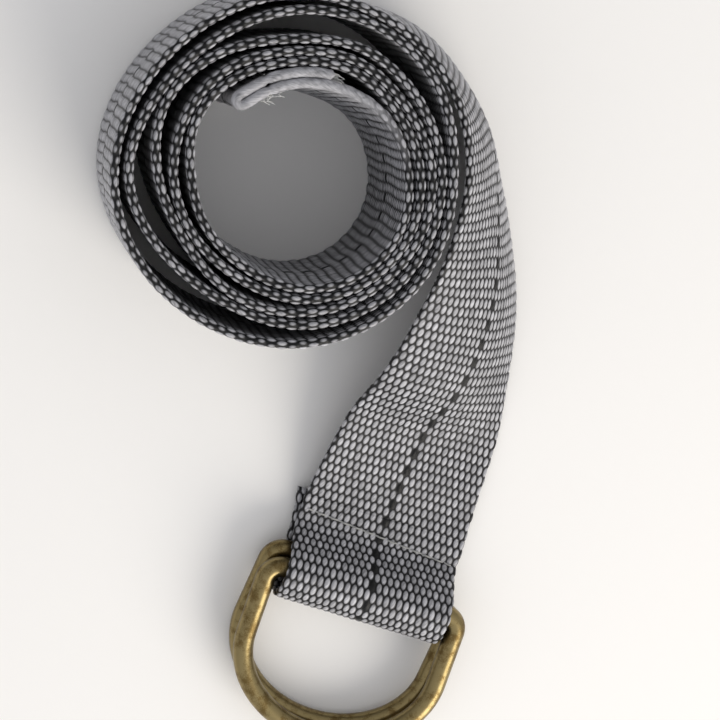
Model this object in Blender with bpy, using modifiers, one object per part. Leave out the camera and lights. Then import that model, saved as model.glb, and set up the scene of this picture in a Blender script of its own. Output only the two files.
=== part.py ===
"""Rolled webbing strap with two D-rings sewn into its end.

Frame: metres, +Z up, the rolled strap stands on its edge on z = 0. The flat lead and the
rings point along -Y. The origin is at the middle of the bounding box's bottom.
Angles of the roll are in degrees, counter-clockwise seen from above, and the strap winds
outwards clockwise from its hemmed tail to the sewn loop that holds the rings.
"""

import math

import bmesh
import bpy
import numpy as np

MM = 0.001

# Webbing
STRAP_WIDTH = 38.0
STRAP_THICKNESS = 1.7
HALF_WIDTH = STRAP_WIDTH / 2
HALF_THICKNESS = STRAP_THICKNESS / 2
STRIPS_ACROSS = 6
STATION_STEP = 2.4
FINE_STEP = 0.9

# Middle of the roll, measured from the origin
ROLL_X = -19.91
ROLL_Y = 39.41

# Roll: radius of the strap's top edge every 30 degrees, from the tail outwards
ROLL_START = 110.0
ROLL_STEP = -30.0
ROLL_RADII = [
    17.6, 19.33, 21.7, 23.2, 24.56, 24.07, 22.32, 20.27, 19.69, 19.77, 21.56, 21.82,
    21.87, 23.36, 24.02, 25.62, 26.58, 26.08, 24.59, 22.7, 22.62, 23.2, 23.63, 24.0,
    23.89, 25.38, 26.17, 28.01, 28.6, 28.1, 27.38, 25.98, 24.67, 26.13, 28.32, 27.38,
    26.27, 28.03, 28.91, 30.04, 30.62, 30.76, 29.79, 28.26, 29.43, 31.87, 30.51, 30.16,
    31.7, 33.22, 33.59, 32.42, 33.34, 33.75, 33.71, 33.57, 34.26, 34.77, 33.83, 33.75,
    34.82, 35.35,
]

# How far the strap's lower edge leans outwards: (angle in the roll, lean), in degrees
ROLL_LEAN = [
    (147.2, -1.5), (110.0, -2.5), (80.0, -4.0), (50.0, -3.0), (20.0, -1.5), (-40.0, 0.0),
    (-1660.0, 0.0), (-1700.0, 1.2), (-1720.0, 3.0), (-1732.0, 4.0),
]

# Hem: the tail's end turned back on the outside, (angle, radius), cut end first
HEM_ROUTE = [
    (88.0, 20.87), (99.0, 20.3), (110.0, 19.72), (125.0, 19.15), (138.0, 18.72),
    (143.8, 18.69), (146.2, 18.39), (147.2, 17.65), (146.2, 16.91), (143.8, 16.61),
    (138.0, 16.62), (125.0, 17.0),
]

# Lead: middle of the strap from the roll's middle, with lean, the azimuth of the side
# that the lower edge leans to, and how far the middle bows out: (x, y, lean, azimuth, bow)
LEAD_ROUTE = [
    (15.93, 34.17, 6.5, 63.0, 1.2),
    (28.13, 27.16, 10.6, 44.0, 2.2),
    (37.27, 17.18, 17.5, 30.0, 3.0),
    (40.67, 11.07, 21.5, 26.0, 3.0),
    (42.5, 7.2, 25.0, 23.0, 3.0),
    (46.1, -2.7, 33.5, 16.0, 3.7),
    (48.75, -12.98, 44.0, 10.5, 4.8),
    (50.21, -23.69, 53.5, 6.8, 5.1),
    (50.85, -33.78, 62.0, 3.5, 3.7),
    (51.0, -43.51, 72.5, 1.0, 0.5),
]

# Flat end: (x, y, z, lean) of the strap's middle over the lap, the bars and back below
LEAD_X = 50.6
LOOP_ROUTE = [
    (LEAD_X, -54.33, 5.3, 80.0),
    (LEAD_X, -60.0, 4.3, 84.0),
    (LEAD_X, -65.0, 3.88, 88.0),
    (LEAD_X, -68.0, 3.82, 90.0),
    (LEAD_X, -70.6, 3.86, 90.0),
    (LEAD_X, -72.5, 4.95, 90.0),
    (LEAD_X, -75.2, 8.2, 90.0),
    (LEAD_X, -77.6, 11.05, 90.0),
    (LEAD_X, -80.6, 12.7, 90.0),
    (LEAD_X, -83.8, 12.15, 90.0),
    (LEAD_X, -86.1, 9.9, 90.0),
    (LEAD_X, -86.95, 6.5, 90.0),
    (LEAD_X, -86.1, 3.1, 90.0),
    (LEAD_X, -83.5, 1.25, 90.0),
    (LEAD_X, -80.0, 0.93, 90.0),
    (LEAD_X, -76.0, 1.0, 90.0),
    (50.1, -71.0, 1.7, 90.0),
    (49.6, -68.0, 1.8, 90.0),
    (49.1, -64.9, 1.8, 90.0),
]

# D-rings: one wire bent to a straight bar, two legs and a bow
WIRE_RADIUS = 2.2
RING_HALF_WIDTH = 22.0
RING_CORNER = 3.4
RING_LEG = 15.6
RING_DEPTH = 33.7
WIRE_SIDES_SETTING = 4
LOWER_BAR = (50.95, -79.3, 4.45)
LOWER_TILT = -3.75
LOWER_TURN = -4.0
UPPER_BAR = (50.5, -80.6, 8.97)
UPPER_TILT = -1.5
UPPER_TURN = 0.8

# Sewing thread, lying on the webbing
THREAD_RADIUS = 0.2
THREAD_GAP = 0.25
THREAD_WAVE = 0.12
LOOP_SEAM_Y = -69.25
LOOP_SEAM_SLEW = -0.076
HEM_SEAM_ANGLE = 125.0
HEM_SEAM_INNER = 17.0
HEM_SEAM_OUTER = 19.15
STITCHES_ACROSS = 12


def remove_everything():
    """Start from an empty scene."""
    for obj in list(bpy.data.objects):
        bpy.data.objects.remove(obj, do_unlink=True)


def make_collection(name):
    """A collection for the finished parts."""
    group = bpy.data.collections.new(name)
    bpy.context.scene.collection.children.link(group)
    return group


def make_material(name, colour, metallic, roughness):
    """One plain material for a part."""
    material = bpy.data.materials.new(name)
    material.use_nodes = True
    shader = material.node_tree.nodes["Principled BSDF"]
    shader.inputs["Base Color"].default_value = (*colour, 1.0)
    shader.inputs["Metallic"].default_value = metallic
    shader.inputs["Roughness"].default_value = roughness
    return material


def spline(knots, values, where):
    """Smooth curve through values at knots (natural cubic spline), read at where."""
    count = len(knots)
    gap = np.diff(knots)
    slope = np.diff(values, axis=0) / gap[:, None]
    matrix = np.eye(count)
    right = np.zeros_like(values)
    for i in range(1, count - 1):
        matrix[i, i - 1] = gap[i - 1]
        matrix[i, i] = 2 * (gap[i - 1] + gap[i])
        matrix[i, i + 1] = gap[i]
        right[i] = 6 * (slope[i] - slope[i - 1])
    bend = np.linalg.solve(matrix, right)
    cell = np.clip(np.searchsorted(knots, where, side="right") - 1, 0, count - 2)
    width = gap[cell][:, None]
    after = (where - knots[cell])[:, None]
    before = width - after
    curved = (bend[cell] * before**3 + bend[cell + 1] * after**3) / (6 * width)
    low = (values[cell] / width - bend[cell] * width / 6) * before
    high = (values[cell + 1] / width - bend[cell + 1] * width / 6) * after
    return curved + low + high


def standing_height(lean):
    """Height of the strap's middle when its lower edge stands on the table."""
    tilt = np.radians(np.abs(lean))
    return HALF_WIDTH * np.cos(tilt) + HALF_THICKNESS * np.sin(tilt)


def roll_point(angle, top_radius):
    """Route row for a place in the roll, given the radius of its top edge."""
    table = np.array(ROLL_LEAN)[::-1]
    lean = float(np.interp(angle, table[:, 0], table[:, 1]))
    radius = top_radius + HALF_WIDTH * math.sin(math.radians(lean))
    turn = math.radians(angle)
    across = radius * math.cos(turn)
    along = radius * math.sin(turn)
    return (across, along, standing_height(lean), lean, angle, 0.0)


def strap_route():
    """Rows of x, y, z, lean, azimuth and bow from the hem's cut end to the lap's."""
    rows = [roll_point(angle, radius) for angle, radius in HEM_ROUTE]
    for i, radius in enumerate(ROLL_RADII):
        rows.append(roll_point(ROLL_START + ROLL_STEP * i, radius))
    for x, y, lean, azimuth, bow in LEAD_ROUTE:
        rows.append((x, y, standing_height(lean), lean, azimuth - 1800.0, bow))
    for x, y, z, lean in LOOP_ROUTE:
        rows.append((x, y, z, lean, -1800.0, 0.0))
    return np.array(rows, float)


def strap_stations():
    """Middle points, cross directions, outward directions and bows along the strap, closer
    together where it bends tightly."""
    rows = strap_route()
    chord = np.linalg.norm(np.diff(rows[:, :3], axis=0), axis=1)
    knots = np.concatenate([[0.0], np.cumsum(chord)])
    hem_end = knots[len(HEM_ROUTE) - 1]
    loop_start = knots[-len(LOOP_ROUTE) + 3]
    fine_hem = np.arange(0.0, hem_end, FINE_STEP)
    coarse = np.linspace(hem_end, loop_start, int((loop_start - hem_end) / STATION_STEP))
    fine_loop = np.arange(loop_start + FINE_STEP, knots[-1], FINE_STEP)
    where = np.concatenate([fine_hem, coarse, fine_loop, [knots[-1]]])
    read = spline(knots, rows, where)
    middle = read[:, :3]
    lean = np.radians(read[:, 3])
    azimuth = np.radians(read[:, 4])
    across = np.stack(
        [
            -np.sin(lean) * np.cos(azimuth),
            -np.sin(lean) * np.sin(azimuth),
            np.cos(lean),
        ],
        axis=1,
    )
    outward = np.cross(across, np.gradient(middle, where, axis=0))
    outward /= np.linalg.norm(outward, axis=1, keepdims=True)
    return middle, across, outward, read[:, 5]


def finish_part(obj, group, material):
    """Name the mesh, give the material and put the part in its collection."""
    obj.data.name = obj.name
    obj.data.materials.clear()
    obj.data.materials.append(material)
    group.objects.link(obj)
    return obj


def make_webbing(group, material):
    """Open ribbon lofted along the route, given its thickness by Solidify."""
    middle, across, outward, bow = strap_stations()
    place = np.linspace(-1.0, 1.0, STRIPS_ACROSS + 1)
    chord = HALF_WIDTH / (1 + 2 / 3 * (bow / HALF_WIDTH) ** 2)
    grid = middle[:, None, :] + (chord[:, None] * place)[:, :, None] * across[:, None, :]
    grid += (bow[:, None] * (1 - place**2))[:, :, None] * outward[:, None, :]
    grid += np.array([ROLL_X, ROLL_Y, 0.0])
    mesh = bpy.data.meshes.new("webbing")
    shape = bmesh.new()
    verts = [[shape.verts.new(point * MM) for point in row] for row in grid]
    for low, high in zip(verts[:-1], verts[1:]):
        for i in range(STRIPS_ACROSS):
            shape.faces.new((low[i], high[i], high[i + 1], low[i + 1]))
    shape.to_mesh(mesh)
    shape.free()
    webbing = bpy.data.objects.new("webbing", mesh)
    thicken = webbing.modifiers.new("thickness", "SOLIDIFY")
    thicken.thickness = STRAP_THICKNESS * MM
    thicken.offset = 0.0
    thicken.use_even_offset = True
    return finish_part(webbing, group, material)


def make_wire(name, points, radius, closed, sides):
    """Round wire along a chain of points."""
    curve = bpy.data.curves.new(name, "CURVE")
    curve.dimensions = "3D"
    curve.bevel_depth = radius * MM
    curve.bevel_resolution = sides
    curve.use_fill_caps = not closed
    line = curve.splines.new("POLY")
    line.points.add(len(points) - 1)
    for knot, point in zip(line.points, points):
        knot.co = (point[0] * MM, point[1] * MM, point[2] * MM, 1.0)
    line.use_cyclic_u = closed
    return bpy.data.objects.new(name, curve)


def arc(centre, radii, start, end, count):
    """Points on an elliptical arc, both ends included."""
    angles = np.radians(np.linspace(start, end, count))
    return np.stack(
        [centre[0] + radii[0] * np.cos(angles), centre[1] + radii[1] * np.sin(angles)],
        axis=1,
    )


def ring_outline():
    """Middle line of the ring in its own plane: bar on y = 0, bow towards -Y."""
    inset = RING_HALF_WIDTH - RING_CORNER
    corner = (RING_CORNER, RING_CORNER)
    bow = (RING_HALF_WIDTH, RING_DEPTH - RING_LEG)
    right = arc((inset, -RING_CORNER), corner, 90.0, 0.0, 7)
    round_bow = arc((0.0, -RING_LEG), bow, 0.0, -180.0, 33)
    left = arc((-inset, -RING_CORNER), corner, 180.0, 90.0, 7)
    bar = np.stack([np.linspace(-inset, inset, 5)[1:-1], np.zeros(3)], axis=1)
    return np.concatenate([right, round_bow, left, bar])


def make_ring(name, bar, tilt, turn, group, material):
    """D-ring whose origin is the middle of its bar, tilted about the bar, then turned
    about the vertical."""
    flat = ring_outline()
    tilt, turn = math.radians(tilt), math.radians(turn)
    points = [
        (
            x * math.cos(turn) - y * math.cos(tilt) * math.sin(turn),
            x * math.sin(turn) + y * math.cos(tilt) * math.cos(turn),
            -y * math.sin(tilt),
        )
        for x, y in flat
    ]
    ring = make_wire(name, points, WIRE_RADIUS, True, WIRE_SIDES_SETTING)
    ring.location = ((bar[0] + ROLL_X) * MM, (bar[1] + ROLL_Y) * MM, bar[2] * MM)
    return finish_part(ring, group, material)


def stitch_wave(count):
    """Place along a seam, -1 to 1, and the thread's small rise and dip."""
    along = np.linspace(-1.0, 1.0, 4 * count + 1)
    rise = THREAD_WAVE * np.cos(np.pi * count * along)
    return along, rise


def make_loop_seam(name, surface, side, group, material):
    """Thread across the flat end, on top (side 1) or below (side -1)."""
    along, rise = stitch_wave(STITCHES_ACROSS)
    x = along * (HALF_WIDTH - 2.0)
    y = LOOP_SEAM_Y + LOOP_SEAM_SLEW * x
    lift = THREAD_GAP + THREAD_RADIUS + THREAD_WAVE
    z = surface + side * (lift + rise)
    points = np.stack([x + LEAD_X + ROLL_X, y + ROLL_Y, z], axis=1)
    thread = make_wire(name, points, THREAD_RADIUS, False, 1)
    return finish_part(thread, group, material)


def make_hem_seam(name, radius, side, group, material):
    """Thread up the hem, outside (side 1) or inside the roll (side -1)."""
    along, rise = stitch_wave(STITCHES_ACROSS)
    middle = roll_point(HEM_SEAM_ANGLE, radius)
    lean = math.radians(middle[3])
    turn = math.radians(HEM_SEAM_ANGLE)
    step = along * (HALF_WIDTH - 2.0)
    lift = HALF_THICKNESS + THREAD_GAP + THREAD_RADIUS + THREAD_WAVE
    out = side * (lift + rise) - math.sin(lean) * step
    x = middle[0] + out * math.cos(turn) + ROLL_X
    y = middle[1] + out * math.sin(turn) + ROLL_Y
    z = middle[2] + math.cos(lean) * step
    points = np.stack([x, y, z], axis=1)
    thread = make_wire(name, points, THREAD_RADIUS, False, 1)
    return finish_part(thread, group, material)


def build():
    """Make every part."""
    remove_everything()
    group = make_collection("d_ring_strap")
    grey = make_material("grey_webbing", (0.27, 0.27, 0.28), 0.0, 0.85)
    brass = make_material("antique_brass", (0.30, 0.21, 0.09), 1.0, 0.35)
    second_brass = make_material("antique_brass_second", (0.28, 0.20, 0.09), 1.0, 0.38)
    thread = make_material("grey_thread", (0.35, 0.35, 0.36), 0.0, 0.6)
    make_webbing(group, grey)
    make_ring("lower_d_ring", LOWER_BAR, LOWER_TILT, LOWER_TURN, group, brass)
    make_ring("upper_d_ring", UPPER_BAR, UPPER_TILT, UPPER_TURN, group, second_brass)
    make_loop_seam("loop_seam_needle_thread", 4.7, 1, group, thread)
    make_loop_seam("loop_seam_bobbin_thread", 0.92, -1, group, thread)
    make_hem_seam("hem_seam_needle_thread", HEM_SEAM_INNER, -1, group, thread)
    make_hem_seam("hem_seam_bobbin_thread", HEM_SEAM_OUTER, 1, group, thread)


build()
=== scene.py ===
"""Rolled grey webbing strap with two antique-brass D-rings sewn into its end.

Everything is worked out in millimetres and put into the meshes in metres. Route tables are
measured from the middle of the roll, as in the part's own source, so the pieces lie exactly
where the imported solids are. The strap runs from the hem's cut end, out through the roll and
along the lead, over the ring bars and back to the lap's cut end.
"""

import math

import bpy
import numpy as np
from mathutils import Matrix


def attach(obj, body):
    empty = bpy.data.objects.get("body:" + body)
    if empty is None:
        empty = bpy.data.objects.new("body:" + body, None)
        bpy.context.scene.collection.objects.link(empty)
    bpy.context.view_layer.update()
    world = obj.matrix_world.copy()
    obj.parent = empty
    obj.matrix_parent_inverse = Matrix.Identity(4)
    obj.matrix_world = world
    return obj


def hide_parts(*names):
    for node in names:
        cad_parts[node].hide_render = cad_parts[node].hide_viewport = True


MM = 0.001

# Route of the strap, as in the part's source
HALF_WIDTH = 19.0
HALF_THICKNESS = 0.85
ROLL_MIDDLE = np.array([-19.91, 39.41, 0.0])
ROLL_START, ROLL_STEP = 110.0, -30.0
ROLL_RADII = [
    17.6, 19.33, 21.7, 23.2, 24.56, 24.07, 22.32, 20.27, 19.69, 19.77, 21.56, 21.82,
    21.87, 23.36, 24.02, 25.62, 26.58, 26.08, 24.59, 22.7, 22.62, 23.2, 23.63, 24.0,
    23.89, 25.38, 26.17, 28.01, 28.6, 28.1, 27.38, 25.98, 24.67, 26.13, 28.32, 27.38,
    26.27, 28.03, 28.91, 30.04, 30.62, 30.76, 29.79, 28.26, 29.43, 31.87, 30.51, 30.16,
    31.7, 33.22, 33.59, 32.42, 33.34, 33.75, 33.71, 33.57, 34.26, 34.77, 33.83, 33.75,
    34.82, 35.35,
]
ROLL_LEAN = [
    (147.2, -1.5), (110.0, -2.5), (80.0, -4.0), (50.0, -3.0), (20.0, -1.5), (-40.0, 0.0),
    (-1660.0, 0.0), (-1700.0, 1.2), (-1720.0, 3.0), (-1732.0, 4.0),
]
HEM_ROUTE = [
    (88.0, 20.87), (99.0, 20.3), (110.0, 19.72), (125.0, 19.15), (138.0, 18.72),
    (143.8, 18.69), (146.2, 18.39), (147.2, 17.65), (146.2, 16.91), (143.8, 16.61),
    (138.0, 16.62), (125.0, 17.0),
]
LEAD_ROUTE = [
    (15.93, 34.17, 6.5, 63.0, 1.2), (28.13, 27.16, 10.6, 44.0, 2.2),
    (37.27, 17.18, 17.5, 30.0, 3.0), (40.67, 11.07, 21.5, 26.0, 3.0),
    (42.5, 7.2, 25.0, 23.0, 3.0), (46.1, -2.7, 33.5, 16.0, 3.7),
    (48.75, -12.98, 44.0, 10.5, 4.8), (50.21, -23.69, 53.5, 6.8, 5.1),
    (50.85, -33.78, 62.0, 3.5, 3.7), (51.0, -43.51, 72.5, 1.0, 0.5),
]
LEAD_X = 50.6
LOOP_ROUTE = [
    (LEAD_X, -54.33, 5.3, 80.0), (LEAD_X, -60.0, 4.3, 84.0), (LEAD_X, -65.0, 3.88, 88.0),
    (LEAD_X, -68.0, 3.82, 90.0), (LEAD_X, -70.6, 3.86, 90.0), (LEAD_X, -72.5, 4.95, 90.0),
    (LEAD_X, -75.2, 8.2, 90.0), (LEAD_X, -77.6, 11.05, 90.0), (LEAD_X, -80.6, 12.7, 90.0),
    (LEAD_X, -83.8, 12.15, 90.0), (LEAD_X, -86.1, 9.9, 90.0), (LEAD_X, -86.95, 6.5, 90.0),
    (LEAD_X, -86.1, 3.1, 90.0), (LEAD_X, -83.5, 1.25, 90.0), (LEAD_X, -80.0, 0.93, 90.0),
    (LEAD_X, -76.0, 1.0, 90.0), (50.1, -71.0, 1.7, 90.0), (49.6, -68.0, 1.8, 90.0),
    (49.1, -64.9, 1.8, 90.0),
]

# D-rings, as in the part's source: middle of the bar, tilt about it, turn about the vertical
WIRE_RADIUS = 2.2
RING_HALF_WIDTH, RING_CORNER, RING_LEG, RING_DEPTH = 22.0, 3.4, 15.6, 33.7
RINGS = {
    "lower": ((50.95, -79.3, 4.45), -3.75, -4.0),
    "upper": ((50.5, -80.6, 8.97), -1.5, 0.8),
}

# Seams, as in the part's source
THREAD_RADIUS = 0.2
LOOP_SEAM_Y, LOOP_SEAM_SLEW = -69.25, -0.076
LOOP_SEAM_TOP, LOOP_SEAM_BELOW = 3.84, 1.77
HEM_SEAM_ANGLE, HEM_SEAM_INNER, HEM_SEAM_OUTER = 125.0, 17.0, 19.15
STITCHES_ACROSS = 12

# Weave: 102 columns of raised floats around the strap's section, every other column half a
# repeat further on
COLUMNS = 102
FLAT_WIDTH = 36.3
SECTION_LENGTH = 2 * FLAT_WIDTH + 2 * math.pi * HALF_THICKNESS
COLUMN = SECTION_LENGTH / COLUMNS
REPEAT = 4.2
FLOAT_HALF_WIDTH, FLOAT_HALF_LENGTH = 0.66, 1.18
FLOAT_HEIGHT = 0.3
FLOAT_ROUNDNESS = 0.75
MEAN_RISE = 0.62 * FLOAT_HEIGHT
CORE_HALF_THICKNESS = 0.66

# Thickness left at the last three steps of a cut end
CUT_END = [0.85, 0.62, 0.35]

# Hem: smooth edges up to the first route row, woven again at the second, from this far off
# the strap's middle line over this width, pinched at the rows its seam crosses
HEM_ROWS = (13, 15)
HEM_SMOOTHNESS, HEM_RISE = 0.8, 0.34
HEM_EDGE, HEM_BLEND = 13.0, 3.0
HEM_SEAM_ROWS = (3, 11)
HEM_PINCH, HEM_PINCH_LENGTH = 0.3, 0.5

# Sewn fold: the strap is pressed down along the seam, on everything past this route row
FOLD_ROW = 84
PRESS_LENGTH, PRESS_SHARE, PRESS_DEPTH = 0.7, 0.45, 0.05


def spline(knots, values, where):
    """Natural cubic spline: in each gap the curve is the straight line between the two
    values plus the cubes of the distances to both knots, weighed by their second
    derivatives, which one linear system makes equal from gap to gap."""
    count = len(knots)
    gap = np.diff(knots)
    slope = np.diff(values, axis=0) / gap[:, None]
    matrix = np.eye(count)
    right = np.zeros_like(values)
    for i in range(1, count - 1):
        matrix[i, i - 1 : i + 2] = gap[i - 1], 2 * (gap[i - 1] + gap[i]), gap[i]
        right[i] = 6 * (slope[i] - slope[i - 1])
    bend = np.linalg.solve(matrix, right)
    cell = np.clip(np.searchsorted(knots, where, side="right") - 1, 0, count - 2)
    width = gap[cell][:, None]
    after = (where - knots[cell])[:, None]
    before = width - after
    curved = (bend[cell] * before**3 + bend[cell + 1] * after**3) / (6 * width)
    low = (values[cell] / width - bend[cell] * width / 6) * before
    high = (values[cell + 1] / width - bend[cell + 1] * width / 6) * after
    return curved + low + high


def standing_height(lean):
    """Half the width times the lean's cosine plus half the thickness times its sine."""
    tilt = np.radians(np.abs(lean))
    return HALF_WIDTH * np.cos(tilt) + HALF_THICKNESS * np.sin(tilt)


def roll_point(angle, top_radius):
    """Route row at an angle of the roll: the top edge's radius plus half the width times
    the lean's sine, turned to the angle."""
    table = np.array(ROLL_LEAN)[::-1]
    lean = float(np.interp(angle, table[:, 0], table[:, 1]))
    radius = top_radius + HALF_WIDTH * math.sin(math.radians(lean))
    turn = math.radians(angle)
    return (
        radius * math.cos(turn),
        radius * math.sin(turn),
        standing_height(lean),
        lean,
        angle,
        0.0,
    )


def strap_route():
    """Rows of x, y, z, lean, azimuth and bow, and the running length at each row."""
    rows = [roll_point(angle, radius) for angle, radius in HEM_ROUTE]
    rows += [roll_point(ROLL_START + ROLL_STEP * i, r) for i, r in enumerate(ROLL_RADII)]
    rows += [
        (x, y, standing_height(lean), lean, azimuth - 1800.0, bow)
        for x, y, lean, azimuth, bow in LEAD_ROUTE
    ]
    rows += [(x, y, z, lean, -1800.0, 0.0) for x, y, z, lean in LOOP_ROUTE]
    rows = np.array(rows, float)
    knots = np.concatenate(
        [[0.0], np.cumsum(np.linalg.norm(np.diff(rows[:, :3], axis=0), axis=1))]
    )
    return rows, knots


ROUTE, KNOTS = strap_route()
FINE_KNOTS = np.linspace(0.0, KNOTS[-1], 40001)
FINE_ROUTE = spline(KNOTS, ROUTE, FINE_KNOTS)
FINE_LENGTH = np.concatenate(
    [[0.0], np.cumsum(np.linalg.norm(np.diff(FINE_ROUTE[:, :3], axis=0), axis=1))]
)
ROW_LENGTH = np.interp(KNOTS, FINE_KNOTS, FINE_LENGTH)


def strap_frame(length):
    """Middle, cross direction, travel, outward face and bow at running lengths. Across
    comes from lean and azimuth, travel is the middle's slope, outward is across x travel."""
    read = np.stack([np.interp(length, FINE_LENGTH, c) for c in FINE_ROUTE.T], axis=1)
    lean, azimuth = np.radians(read[:, 3]), np.radians(read[:, 4])
    across = np.stack(
        [-np.sin(lean) * np.cos(azimuth), -np.sin(lean) * np.sin(azimuth), np.cos(lean)],
        axis=1,
    )
    step = 0.15
    ahead, behind = (
        np.stack([np.interp(length + d, FINE_LENGTH, c) for c in FINE_ROUTE.T[:3]], axis=1)
        for d in (step, -step)
    )
    travel = ahead - behind
    travel /= np.linalg.norm(travel, axis=1, keepdims=True)
    outward = np.cross(across, travel)
    outward /= np.linalg.norm(outward, axis=1, keepdims=True)
    return read[:, :3] + ROLL_MIDDLE, across, travel, outward, read[:, 5]


def bowed(place, across, outward, bow):
    """Place on a section bent to a parabola that rises by the bow at its middle and keeps
    its length across: the flat part follows the parabola and what lies off it is turned
    with the slope, two bows times the distance over the half chord squared."""
    flat = HALF_WIDTH - HALF_THICKNESS
    along = np.clip(place[..., 0], -flat, flat)
    chord = HALF_WIDTH / (1 + 2 / 3 * (bow / HALF_WIDTH) ** 2)[:, None]
    bow = bow[:, None]
    slope = 2 * bow * along / (HALF_WIDTH * chord)
    size = np.sqrt(1 + slope**2)
    over, above = place[..., 0] - along, place[..., 1]
    right = along * chord / HALF_WIDTH + (over + slope * above) / size
    up = bow * (1 - (along / HALF_WIDTH) ** 2) + (above - slope * over) / size
    return right[..., None] * across[:, None, :] + up[..., None] * outward[:, None, :]


def chance(i, j):
    """Repeatable number from 0 to 1 for whole numbers i and j: what is left behind the
    point of a large sine."""
    return np.modf(np.abs(np.sin(i * 12.9898 + j * 78.233) * 43758.5453))[0]


def float_height(around, along):
    """Rise of the woven floats: one minus the squared distances to the nearest float's
    middle, in float sizes, to the roundness power, for two grids half a repeat apart."""
    best = np.zeros(np.broadcast(around, along).shape)
    for shift in (0.0, 0.5):
        x = around / (2 * COLUMN) + shift
        y = along / REPEAT + shift
        i, j = np.rint(x), np.rint(y)
        inside = (
            1.0
            - ((x - i) * 2 * COLUMN / FLOAT_HALF_WIDTH) ** 2
            - ((y - j) * REPEAT / FLOAT_HALF_LENGTH) ** 2
        )
        size = 0.86 + 0.28 * chance(np.mod(i, COLUMNS // 2) + 3.0, j)
        best = np.maximum(best, size * np.clip(inside, 0.0, 1.0) ** FLOAT_ROUNDNESS)
    return FLOAT_HEIGHT * best


def section(around):
    """Flat sides and half-round edges of the strap: place across, place outward and the
    outward direction for a distance around the section, from the outer face's middle."""
    core = HALF_WIDTH - CORE_HALF_THICKNESS - FLOAT_HEIGHT
    edge = math.pi * HALF_THICKNESS
    half = FLAT_WIDTH / 2
    lap = np.mod(around, SECTION_LENGTH)
    turn = np.clip((lap - half) / HALF_THICKNESS, 0, math.pi)
    turn += np.clip((lap - half - edge - FLAT_WIDTH) / HALF_THICKNESS, 0, math.pi)
    straight = np.clip(lap, 0, half) - np.clip(lap - half - edge, 0, FLAT_WIDTH)
    straight += np.clip(lap - half - 2 * edge - FLAT_WIDTH, 0, half)
    normal = np.stack([np.sin(turn), np.cos(turn)], axis=1)
    place = CORE_HALF_THICKNESS * normal
    place[:, 0] += straight * core / half
    return place, normal


def put_in_mesh(name, shells, material, flat_ends=True):
    """One piece from closed shells. A shell is a grid of points, one closed profile after
    another, with its UVs and whether the last profile joins the first. Other shells get
    an end cap at each end."""
    points, corners, starts, uvs, smooth = [], [], [], [], []
    base = corner_count = 0
    for grid, uv, joined in shells:
        along, around = grid.shape[:2]
        index = base + np.arange(along * around).reshape(along, around)
        if joined:
            index = np.vstack([index, index[:1]])
        wrapped = np.hstack([index, index[:, :1]])
        quads = np.stack(
            [wrapped[:-1, :-1], wrapped[:-1, 1:], wrapped[1:, 1:], wrapped[1:, :-1]], axis=-1
        ).reshape(-1, 4)
        corners.append(quads.ravel())
        starts.append(corner_count + 4 * np.arange(len(quads)))
        smooth.append(np.ones(len(quads), bool))
        corner_count += quads.size
        if uv is not None:
            uvs.append(
                np.stack(
                    [uv[:-1, :-1], uv[:-1, 1:], uv[1:, 1:], uv[1:, :-1]], axis=2
                ).reshape(-1, 2)
            )
        if not joined:
            for cap, cap_uv in ((index[0][::-1], 0), (index[-1], -1)):
                corners.append(cap)
                starts.append(np.array([corner_count]))
                smooth.append(np.array([not flat_ends]))
                corner_count += len(cap)
                if uv is not None:
                    row = uv[cap_uv, :-1]
                    uvs.append(row[::-1] if cap_uv == 0 else row)
        points.append(grid.reshape(-1, 3))
        base += along * around
    mesh = bpy.data.meshes.new(name)
    points = np.concatenate(points)
    mesh.vertices.add(len(points))
    mesh.vertices.foreach_set("co", (points * MM).ravel())
    mesh.loops.add(corner_count)
    mesh.loops.foreach_set("vertex_index", np.concatenate(corners).astype(np.int32))
    starts = np.concatenate(starts).astype(np.int32)
    mesh.polygons.add(len(starts))
    mesh.polygons.foreach_set("loop_start", starts)
    mesh.polygons.foreach_set("use_smooth", np.concatenate(smooth))
    if uvs:
        layer = mesh.uv_layers.new(name="weave")
        layer.data.foreach_set("uv", np.concatenate(uvs).ravel())
    mesh.update(calc_edges=True)
    mesh.validate()
    mesh.materials.append(material)
    piece = bpy.data.objects.new(name, mesh)
    bpy.context.scene.collection.objects.link(piece)
    return piece


def wire_shell(path, facing, radius, sides, joined=False):
    """Circle of the given radius carried along a path: the circle lies across the travel,
    measured from the side direction (travel x facing). Open wires end in domes, made of
    circles that shrink as they pass the end."""
    if joined:
        travel = np.roll(path, -1, axis=0) - np.roll(path, 1, axis=0)
    else:
        travel = np.gradient(path, axis=0)
    travel /= np.linalg.norm(travel, axis=1, keepdims=True)
    radii = np.broadcast_to(radius, len(path)).astype(float)
    facing = np.broadcast_to(facing, path.shape)
    if not joined:
        rise = np.sin(np.radians([80.0, 55.0, 30.0]))
        shrink = np.cos(np.radians([80.0, 55.0, 30.0]))
        first = path[0] - travel[0] * (radii[0] * rise)[:, None]
        last = path[-1] + travel[-1] * (radii[-1] * rise[::-1])[:, None]
        path = np.vstack([first, path, last])
        travel = np.vstack([np.tile(travel[0], (3, 1)), travel, np.tile(travel[-1], (3, 1))])
        facing = np.vstack([np.tile(facing[0], (3, 1)), facing, np.tile(facing[-1], (3, 1))])
        radii = np.concatenate([radii[0] * shrink, radii, radii[-1] * shrink[::-1]])
    side = np.cross(travel, facing)
    side /= np.linalg.norm(side, axis=1, keepdims=True)
    up = np.cross(side, travel)
    turn = np.linspace(0.0, 2 * math.pi, sides, endpoint=False)
    circle = (
        np.cos(turn)[None, :, None] * side[:, None, :]
        + np.sin(turn)[None, :, None] * up[:, None, :]
    )
    return path[:, None, :] + radii[:, None, None] * circle, None, joined


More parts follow.
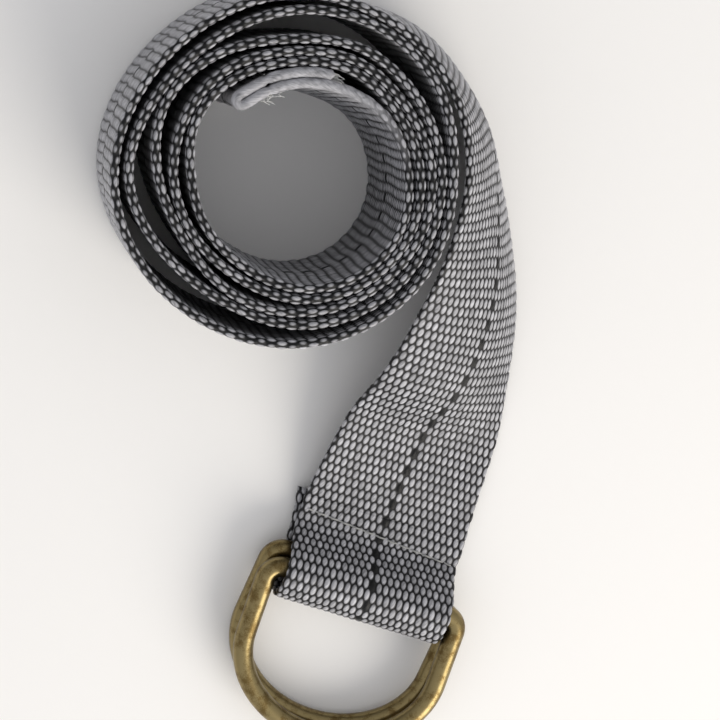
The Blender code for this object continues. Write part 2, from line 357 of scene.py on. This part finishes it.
def linear(code):
    """sRGB hex to linear colour: each channel over 12.92 below 0.04045, else
    ((c + 0.055) / 1.055) to the power 2.4."""
    channels = [int(code[i : i + 2], 16) / 255 for i in (0, 2, 4)]
    return tuple(
        c / 12.92 if c <= 0.04045 else ((c + 0.055) / 1.055) ** 2.4 for c in channels
    ) + (1.0,)


def add(tree, kind, sockets, out=0, **settings):
    """Add a node, give it its settings, fill its sockets with values or with other nodes'
    outputs, and hand back one of its own outputs."""
    node = tree.nodes.new(kind)
    for name, value in settings.items():
        setattr(node, name, value)
    for name, value in sockets.items():
        if isinstance(value, bpy.types.NodeSocket):
            tree.links.new(value, node.inputs[name])
        else:
            node.inputs[name].default_value = value
    return node.outputs[out]


def new_material(name):
    """Empty material: its tree, its shader's sockets and itself."""
    material = bpy.data.materials.new(name)
    material.use_nodes = True
    tree = material.node_tree
    return material, tree, tree.nodes["Principled BSDF"].inputs


def woven_polyester():
    """Woven polyester webbing, dyed grey, with a black tracer yarn down each face. The eye gets
    rows of oval floats, each a little lighter or darker, with painted shade that darkens each
    float towards its rim and turns near-black in the gaps between floats and in dark flecks
    along the selvedges. It also gets slanted filament streaks, partly texture and partly
    painted highlight, and a faint sheen."""
    material, tree, shader = new_material("woven_polyester")
    shader["Roughness"].default_value = 0.5
    shader["Specular IOR Level"].default_value = 0.3
    shader["Sheen Weight"].default_value = 0.04
    shader["Sheen Roughness"].default_value = 0.45
    place = add(tree, "ShaderNodeUVMap", {}, uv_map="weave")
    cells, insides = [], []
    for shift in (0.0, 0.5):
        scaled = add(
            tree,
            "ShaderNodeVectorMath",
            {0: place, 1: (1 / (2 * COLUMN), 1 / REPEAT, 0.0), 2: (shift, shift, 0.0)},
            operation="MULTIPLY_ADD",
        )
        moved = add(
            tree, "ShaderNodeVectorMath", {0: scaled, 1: (0.5, 0.5, 0.0)}, operation="ADD"
        )
        cell = add(tree, "ShaderNodeVectorMath", {0: moved}, operation="FLOOR")
        off = add(
            tree, "ShaderNodeVectorMath", {0: scaled, 1: cell}, operation="SUBTRACT"
        )
        off = add(
            tree,
            "ShaderNodeVectorMath",
            {0: off, 1: (2 * COLUMN / FLOAT_HALF_WIDTH, REPEAT / FLOAT_HALF_LENGTH, 0.0)},
            operation="MULTIPLY",
        )
        square = add(
            tree, "ShaderNodeVectorMath", {0: off, 1: off}, out=1, operation="DOT_PRODUCT"
        )
        insides.append(
            add(tree, "ShaderNodeMath", {0: 1.0, 1: square}, operation="SUBTRACT")
        )
        cells.append(
            add(
                tree,
                "ShaderNodeVectorMath",
                {0: cell, 1: (shift, shift, 0.0)},
                operation="SUBTRACT",
            )
        )
    inside = add(
        tree, "ShaderNodeMath", {0: insides[0], 1: insides[1]}, operation="MAXIMUM"
    )
    second = add(
        tree, "ShaderNodeMath", {0: insides[1], 1: insides[0]}, operation="GREATER_THAN"
    )
    cell = add(
        tree,
        "ShaderNodeMix",
        {0: second, 4: cells[0], 5: cells[1]},
        out=1,
        data_type="VECTOR",
    )
    column = add(tree, "ShaderNodeSeparateXYZ", {0: cell})
    tone = add(tree, "ShaderNodeTexWhiteNoise", {0: cell}, noise_dimensions="3D")
    # Whole float columns from the nearest face's middle, 0 to an eighth of all columns
    from_face = add(
        tree,
        "ShaderNodeMath",
        {0: column, 1: COLUMNS / 8},
        operation="PINGPONG",
    )
    # Flecks: the floats beside the edge's middle shrink and let more painted gap shade show, as
    # dark flecks
    to_shade_fleck = add(
        tree,
        "ShaderNodeMath",
        {0: from_face, 1: COLUMNS / 8 - 0.25, 2: 0.2},
        operation="COMPARE",
    )
    chosen = add(tree, "ShaderNodeMath", {0: tone, 1: 0.4}, operation="GREATER_THAN")
    shade_fleck = add(tree, "ShaderNodeMath", {0: to_shade_fleck, 1: chosen}, operation="MULTIPLY")
    shrunk = add(
        tree, "ShaderNodeMath", {0: shade_fleck, 1: -0.45, 2: inside}, operation="MULTIPLY_ADD"
    )
    # Painted shade mask: each float darkens towards its rim and the gaps between floats go
    # near-black
    top = add(
        tree,
        "ShaderNodeMapRange",
        {0: shrunk, 1: 0.0, 2: 0.75, 3: 0.0, 4: 1.0},
        interpolation_type="SMOOTHSTEP",
    )
    # The hem's smooth edges keep little of the painted gap shade
    hem = add(tree, "ShaderNodeAttribute", {}, out=2, attribute_name="hem")
    hem = add(tree, "ShaderNodeMath", {0: hem, 1: 0.85}, operation="MULTIPLY")
    top = add(tree, "ShaderNodeMath", {0: top, 1: hem}, operation="MAXIMUM")
    # Filaments slant across the yarn's twist: 0.3 mm apart, 1.4 mm long
    slanted = add(tree, "ShaderNodeVectorRotate", {"Vector": place, "Angle": 0.45})
    filament_place = add(
        tree, "ShaderNodeVectorMath", {0: slanted, 1: (3.2, 0.7, 0.0)}, operation="MULTIPLY"
    )
    filament = add(
        tree,
        "ShaderNodeTexNoise",
        {"Vector": filament_place, "Scale": 1.0, "Detail": 2.0},
        noise_dimensions="2D",
    )
    # Cloudy dye and rubbing, about 12 mm across
    cloud_place = add(
        tree, "ShaderNodeVectorMath", {0: place, 1: (0.08, 0.05, 0.0)}, operation="MULTIPLY"
    )
    cloud = add(
        tree,
        "ShaderNodeTexNoise",
        {"Vector": cloud_place, "Scale": 1.0, "Detail": 3.0},
        noise_dimensions="2D",
    )
    light = add(tree, "ShaderNodeMath", {0: tone, 1: 0.45, 2: 0.22}, operation="MULTIPLY_ADD")
    # Filament streaks in the colour: partly the yarn's texture, partly painted highlight along
    # its plies
    light = add(
        tree, "ShaderNodeMath", {0: filament, 1: 1.1, 2: light}, operation="MULTIPLY_ADD"
    )
    light = add(
        tree, "ShaderNodeMath", {0: cloud, 1: 0.16, 2: light}, operation="MULTIPLY_ADD"
    )
    grey = add(
        tree,
        "ShaderNodeVectorMath",
        {0: linear("A2A2A6")[:3], "Scale": light},
        operation="SCALE",
    )
    # Painted shade: the grey floats fade to near-black shade in the gaps between them
    gap_shade_mix = add(
        tree,
        "ShaderNodeMix",
        {0: top, 6: linear("0A0A0C"), 7: grey},
        out=2,
        data_type="RGBA",
    )
    # The tracer is the float column at the middle of each face
    tracer = add(tree, "ShaderNodeMath", {0: from_face, 1: 0.2}, operation="LESS_THAN")
    own = add(
        tree,
        "ShaderNodeMapRange",
        {0: inside, 1: -0.35, 2: -0.1, 3: 0.0, 4: 1.0},
    )
    tracer = add(tree, "ShaderNodeMath", {0: tracer, 1: own}, operation="MULTIPLY")
    colour = add(
        tree,
        "ShaderNodeMix",
        {0: tracer, 6: gap_shade_mix, 7: linear("050506")},
        out=2,
        data_type="RGBA",
    )
    tree.links.new(colour, shader["Base Color"])
    # Where the mesh is too coarse for floats, the bump raises them instead
    plain = add(tree, "ShaderNodeAttribute", {}, out=2, attribute_name="unraised")
    bump_top = add(tree, "ShaderNodeMath", {0: top, 1: plain}, operation="MULTIPLY")
    relief = add(
        tree, "ShaderNodeMath", {0: filament, 1: 0.35, 2: bump_top}, operation="MULTIPLY_ADD"
    )
    bump = add(
        tree,
        "ShaderNodeBump",
        {"Height": relief, "Strength": 0.8, "Distance": FLOAT_HEIGHT * MM},
    )
    tree.links.new(bump, shader["Normal"])
    return material


def antique_brass():
    """Brass-plated steel wire, antiqued in a dark dip and rubbed back. The eye gets yellow metal
    with brown mottling and fine specks."""
    material, tree, shader = new_material("antique_brass")
    shader["Metallic"].default_value = 1.0
    place = add(tree, "ShaderNodeTexCoord", {}, out=3)
    # Mottles 2 mm across, specks 0.25 mm across
    mottle = add(tree, "ShaderNodeTexNoise", {"Vector": place, "Scale": 420.0, "Detail": 4.0})
    speck = add(tree, "ShaderNodeTexNoise", {"Vector": place, "Scale": 4200.0, "Detail": 2.0})
    mixed = add(tree, "ShaderNodeMath", {0: speck, 1: 0.45, 2: mottle}, operation="MULTIPLY_ADD")
    dark = add(
        tree,
        "ShaderNodeMapRange",
        {0: mixed, 1: 0.66, 2: 0.92, 3: 0.0, 4: 1.0},
        interpolation_type="SMOOTHSTEP",
    )
    colour = add(
        tree,
        "ShaderNodeMix",
        {0: dark, 6: linear("8C7D57"), 7: linear("6A5835")},
        out=2,
        data_type="RGBA",
    )
    tree.links.new(colour, shader["Base Color"])
    rough = add(tree, "ShaderNodeMath", {0: dark, 1: 0.12, 2: 0.3}, operation="MULTIPLY_ADD")
    tree.links.new(rough, shader["Roughness"])
    bump = add(
        tree, "ShaderNodeBump", {"Height": mixed, "Strength": 0.15, "Distance": 0.06 * MM}
    )
    tree.links.new(bump, shader["Normal"])
    return material


def plain_material(name, code, roughness, scale, spread):
    """One colour with a fine noise that lightens and darkens it."""
    material, tree, shader = new_material(name)
    shader["Roughness"].default_value = roughness
    place = add(tree, "ShaderNodeTexCoord", {}, out=3)
    noise = add(tree, "ShaderNodeTexNoise", {"Vector": place, "Scale": scale, "Detail": 3.0})
    light = add(
        tree, "ShaderNodeMath", {0: noise, 1: spread, 2: 1 - spread / 2}, operation="MULTIPLY_ADD"
    )
    colour = add(
        tree,
        "ShaderNodeVectorMath",
        {0: linear(code)[:3], "Scale": light},
        operation="SCALE",
    )
    tree.links.new(colour, shader["Base Color"])
    return material


def strap_piece(name, rows, step, zones, material, free_ends=(False, False)):
    """Length of webbing between two route rows. The section is carried along the route and
    raised by the floats where its zone is fine enough, else by their mean height. The hem
    is smooth along its edges, and sewing presses the strap down along the seams as one over
    e to the squared distance."""
    start, end = ROW_LENGTH[rows[0]], ROW_LENGTH[rows[1]]
    length = np.linspace(start, end, int(round((end - start) / step)) + 1)
    around, coarse = [], []
    for first, last, gap in zones:
        count = int(round((last - first) / gap))
        around.append(first + (last - first) * np.arange(count) / count)
        coarse.append(np.full(count, gap > 0.5))
    around = np.concatenate(around) * COLUMN
    coarse = np.concatenate(coarse)
    squeeze = np.ones(len(length))
    if free_ends[0]:
        length = np.concatenate([np.full(3, length[0]), length])
        squeeze = np.concatenate([CUT_END[::-1], squeeze])
    if free_ends[1]:
        length = np.concatenate([length, np.full(3, length[-1])])
        squeeze = np.concatenate([squeeze, CUT_END])
    middle, across, travel, outward, bow = strap_frame(length)
    middle = middle + travel * (
        np.sign(length - (start + end) / 2) * (1 - squeeze) * HALF_THICKNESS
    )[:, None]
    place, normal = section(around)
    wave = 0.22 * np.sin(around * 0.31)[None, :] + 0.3 * np.sin(length * 0.043)[:, None]
    woven = length[:, None] + wave * np.cos(around / SECTION_LENGTH * 2 * math.pi)[None, :]
    rise = float_height(around[None, :], woven)
    rise = np.where(coarse[None, :], MEAN_RISE, rise)
    smooth_end, woven_start = (ROW_LENGTH[row] for row in HEM_ROWS)
    hem = np.clip((woven_start - length) / (woven_start - smooth_end), 0, 1)[:, None]
    hem = hem * np.clip((np.abs(place[:, 0]) - HEM_EDGE) / HEM_BLEND, 0, 1)[None, :]
    rise = rise * (1 - HEM_SMOOTHNESS * hem) + HEM_RISE * hem
    for row in HEM_SEAM_ROWS:
        from_seam = (length - ROW_LENGTH[row]) / HEM_PINCH_LENGTH
        rise = rise - HEM_PINCH * np.exp(-(from_seam**2))[:, None]
    folded = length[:, None] > ROW_LENGTH[FOLD_ROW]
    seam_gap = (
        middle[:, None, 1]
        - ROLL_MIDDLE[1]
        - LOOP_SEAM_Y
        - LOOP_SEAM_SLEW * (middle[:, None, 0] - LEAD_X - ROLL_MIDDLE[0])
        + LOOP_SEAM_SLEW * place[None, :, 0] * folded
    )
    pressed = np.exp(-((seam_gap / PRESS_LENGTH) ** 2)) * folded
    rise = rise * (1 - PRESS_SHARE * pressed) - PRESS_DEPTH * pressed
    outer = place[None, :, :] + rise[:, :, None] * normal[None, :, :]
    outer[:, :, 1] *= squeeze[:, None]
    grid = middle[:, None, :] + bowed(outer, across, outward, bow)
    closed = np.append(around, around[0] + SECTION_LENGTH)
    uv = np.stack(
        [
            np.broadcast_to(closed, (len(length), len(closed))),
            np.hstack([woven, woven[:, :1]]),
        ],
        axis=-1,
    )
    piece = put_in_mesh(name, [(grid, uv, False)], material)
    layer = piece.data.attributes.new("unraised", "FLOAT", "POINT")
    layer.data.foreach_set("value", np.tile(coarse.astype(np.float32), len(length)))
    layer = piece.data.attributes.new("hem", "FLOAT", "POINT")
    layer.data.foreach_set("value", hem.ravel().astype(np.float32))
    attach(piece, "strap")
    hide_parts("webbing")
    return piece


def make_webbing(material):
    """The strap in six lengths, each finest on the sides that can be seen."""
    face, edge, back = 22, 29, 73
    coarse_inside = [(20, 33, 0.25), (33, 71, 2), (71, 82, 0.5), (82, 102, 2)]
    strap_piece(
        "webbing_tail",
        (0, 25),
        0.37,
        [(0, face, 2), (face, edge, 0.25), (edge, back, 1 / 3), (back, 80, 0.5), (80, 102, 2)],
        material,
        (True, False),
    )
    for name, rows in (("webbing_inner_roll", (25, 43)), ("webbing_outer_roll", (43, 61))):
        strap_piece(name, rows, 0.33, [(0, 20, 2)] + coarse_inside, material)
    strap_piece(
        "webbing_last_turn",
        (61, 75),
        0.42,
        [(0, 20, 0.5), (20, 31, 0.25), (31, 73, 2), (73, 82, 0.5), (82, 102, 0.5)],
        material,
    )
    strap_piece(
        "webbing_lead",
        (75, 86),
        0.27,
        [(0, 29, 0.25), (29, 73, 1), (73, 102, 0.25)],
        material,
    )
    strap_piece(
        "webbing_loop",
        (86, 102),
        0.27,
        [(0, 29, 0.25), (29, 73, 0.5), (73, 102, 0.25)],
        material,
        (False, True),
    )


def ring_outline(count):
    """Middle line of a ring in its own plane, evenly spaced: a straight bar, two quarter
    circles, and half an ellipse whose height is the depth less the legs."""
    inset = RING_HALF_WIDTH - RING_CORNER
    corner = np.radians(np.linspace(90.0, 0.0, 60))
    bow = np.radians(np.linspace(0.0, -180.0, 600))
    right = np.stack(
        [inset + RING_CORNER * np.cos(corner), RING_CORNER * (np.sin(corner) - 1)], axis=1
    )
    round_bow = np.stack(
        [RING_HALF_WIDTH * np.cos(bow), (RING_DEPTH - RING_LEG) * np.sin(bow) - RING_LEG],
        axis=1,
    )
    left = right[::-1] * (-1.0, 1.0)
    line = np.concatenate([right, round_bow, left, right[:1]])
    run = np.concatenate([[0.0], np.cumsum(np.linalg.norm(np.diff(line, axis=0), axis=1))])
    where = np.linspace(0.0, run[-1], count, endpoint=False)
    return np.stack([np.interp(where, run, line[:, k]) for k in (0, 1)], axis=1)


def make_ring(name, node, body, bar, tilt, turn, material):
    """Round wire bent to the outline, tilted about its bar and turned about the vertical."""
    flat = ring_outline(420)
    tilt, turn = math.radians(tilt), math.radians(turn)
    right = np.array([math.cos(turn), math.sin(turn), 0.0])
    away = np.array(
        [-math.cos(tilt) * math.sin(turn), math.cos(tilt) * math.cos(turn), -math.sin(tilt)]
    )
    path = flat[:, :1] * right + flat[:, 1:] * away + np.array(bar) + ROLL_MIDDLE
    facing = np.cross(right, away)
    ring = put_in_mesh(name, [wire_shell(path, facing, WIRE_RADIUS, 40, True)], material)
    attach(ring, body)
    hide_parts(node)
    return ring


def make_threads(material):
    """Sewing thread along both faces of each seam: a straight line across the strap, in
    stitches that rise over the weave and dip into it as a cosine."""
    along = np.linspace(-1.0, 1.0, 24 * STITCHES_ACROSS + 1)
    step = along * (HALF_WIDTH - 2.0)
    lift = 0.74 + 0.3 * np.cos(np.pi * STITCHES_ACROSS * along)
    for name, height, side in (
        ("loop_seam_needle_thread", LOOP_SEAM_TOP, 1),
        ("loop_seam_bobbin_thread", LOOP_SEAM_BELOW, -1),
    ):
        path = np.stack(
            [step + LEAD_X, LOOP_SEAM_Y + LOOP_SEAM_SLEW * step, height + side * lift], axis=1
        )
        add_thread(name, path + ROLL_MIDDLE, (0.0, 0.0, 1.0), material)
    for name, radius, side in (
        ("hem_seam_needle_thread", HEM_SEAM_INNER, -1),
        ("hem_seam_bobbin_thread", HEM_SEAM_OUTER, 1),
    ):
        middle = roll_point(HEM_SEAM_ANGLE, radius)
        lean, turn = math.radians(middle[3]), math.radians(HEM_SEAM_ANGLE)
        out = side * lift - math.sin(lean) * step
        path = np.stack(
            [
                middle[0] + out * math.cos(turn),
                middle[1] + out * math.sin(turn),
                middle[2] + math.cos(lean) * step,
            ],
            axis=1,
        )
        outward = (math.cos(turn), math.sin(turn), 0.0)
        add_thread(name, path + ROLL_MIDDLE, outward, material)


def add_thread(node, path, facing, material):
    """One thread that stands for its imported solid."""
    shell = wire_shell(path, np.array(facing), THREAD_RADIUS, 10)
    thread = put_in_mesh(f"sewn_{node}", [shell], material)
    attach(thread, "strap")
    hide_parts(node)


def make_fray(material):
    """Loose fibres at the hem: each is a parabola that leaves the cut end or the fold, with
    a small sideways sine."""
    rng = np.random.default_rng(7)
    shells = []
    t = np.linspace(0.0, 1.0, 14)[:, None]
    for _ in range(26):
        angle = math.radians(88.0 + rng.normal(0.0, 0.6))
        height = 37.2 - abs(rng.normal(0.0, 2.4))
        out = np.array([math.cos(angle), math.sin(angle), 0.0])
        travel = np.array([math.sin(angle), -math.cos(angle), 0.0])
        root = 20.85 * out + (0.0, 0.0, height) + rng.normal(0.0, 0.35) * out
        reach = rng.uniform(0.8, 2.6)
        lift = rng.normal(0.4, 0.5) * reach
        bow = rng.normal(0.0, 0.35) * reach
        path = root + t * travel * reach + t**2 * (0.0, 0.0, lift) + t**2 * out * bow
        shells.append(wire_shell(path + ROLL_MIDDLE, np.array([0.3, 0.2, 1.0]), 0.055, 6))
    for _ in range(7):
        angle = math.radians(rng.uniform(116.0, 130.0))
        height = rng.uniform(35.0, 37.6)
        out = np.array([math.cos(angle), math.sin(angle), 0.0])
        travel = np.array([-math.sin(angle), math.cos(angle), 0.0])
        root = 16.1 * out + (0.0, 0.0, height)
        reach = rng.uniform(0.8, 2.2)
        side = rng.normal(0.0, 0.9)
        path = (
            root
            - t * out * reach
            + t**2 * (0.0, 0.0, rng.uniform(-2.0, 0.6))
            + np.sin(t * 4.0) * travel * side
        )
        shells.append(wire_shell(path + ROLL_MIDDLE, np.array([0.1, 0.3, 1.0]), 0.05, 6))
    fray = put_in_mesh("frayed_fibres", shells, material)
    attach(fray, "strap")


def make_floor(material):
    """Square sheet just under the strap's lowest point."""
    mesh = bpy.data.meshes.new("floor")
    half, level = 3.0, -0.06 * MM
    corners = [(-half, -half, level), (half, -half, level), (half, half, level)]
    mesh.from_pydata(corners + [(-half, half, level)], [], [(0, 1, 2, 3)])
    mesh.materials.append(material)
    floor = bpy.data.objects.new("floor", mesh)
    bpy.context.scene.collection.objects.link(floor)


def make_light():
    """Pale surroundings, brighter towards the window side, and one large soft lamp."""
    world = bpy.data.worlds.new("studio")
    world.use_nodes = True
    bpy.context.scene.world = world
    tree = world.node_tree
    place = add(tree, "ShaderNodeTexCoord", {}, out=0)
    towards = add(
        tree,
        "ShaderNodeVectorMath",
        {0: place, 1: (0.4, -0.72, 0.57)},
        out=1,
        operation="DOT_PRODUCT",
    )
    strength = add(
        tree, "ShaderNodeMapRange", {0: towards, 1: -1.0, 2: 1.0, 3: 0.28, 4: 0.95}
    )
    background = tree.nodes["Background"].inputs
    background["Color"].default_value = linear("FCFCFF")
    tree.links.new(strength, background["Strength"])
    lamp = bpy.data.lights.new("window", "AREA")
    lamp.shape = "DISK"
    lamp.size = 0.8
    lamp.energy = 7.4
    lamp.color = linear("FFF8EC")[:3]
    window = bpy.data.objects.new("window", lamp)
    aim = np.array([0.74, -0.52, 0.52])
    aim /= np.linalg.norm(aim)
    side = np.cross((0.0, 0.0, 1.0), aim)
    side /= np.linalg.norm(side)
    up = np.cross(aim, side)
    rows = [[side[k], up[k], aim[k], aim[k]] for k in range(3)]
    window.matrix_world = Matrix([*rows, (0.0, 0.0, 0.0, 1.0)])
    bpy.context.scene.collection.objects.link(window)


def make_camera():
    """Long lens above the strap and a little to its left."""
    camera = bpy.data.cameras.new("camera")
    camera.sensor_width = 36.0
    camera.lens = 115.0
    view = bpy.data.objects.new("camera", camera)
    right = (0.92417, 0.33637, 0.18101)
    up = (-0.30686, 0.93597, -0.1726)
    back = (-0.22748, 0.10396, 0.96822)
    place = (-0.0988, 0.05667, 0.48088)
    rows = [[right[k], up[k], back[k], place[k]] for k in range(3)]
    view.matrix_world = Matrix([*rows, (0.0, 0.0, 0.0, 1.0)])
    bpy.context.scene.collection.objects.link(view)
    bpy.context.scene.camera = view


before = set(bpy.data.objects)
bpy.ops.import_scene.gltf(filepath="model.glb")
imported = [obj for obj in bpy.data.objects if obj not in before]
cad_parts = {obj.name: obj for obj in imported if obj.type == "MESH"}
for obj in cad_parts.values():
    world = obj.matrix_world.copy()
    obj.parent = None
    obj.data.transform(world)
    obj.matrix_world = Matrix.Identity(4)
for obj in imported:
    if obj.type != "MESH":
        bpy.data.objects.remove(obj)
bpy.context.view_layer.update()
bpy.context.scene.view_settings.view_transform = "Standard"
make_camera()
make_light()
make_floor(plain_material("matt_card", "F2F1EF", 0.9, 300.0, 0.01))
make_webbing(woven_polyester())
brass = antique_brass()
for place in ("upper", "lower"):
    bar, tilt, turn = RINGS[place]
    make_ring(f"bent_{place}_ring", f"{place}_d_ring", f"{place}_ring", bar, tilt, turn, brass)
make_threads(plain_material("spun_polyester_thread", "9A9A98", 0.5, 4000.0, 0.7))
make_fray(plain_material("loose_polyester_fibre", "D6D6D4", 0.5, 2000.0, 0.3))
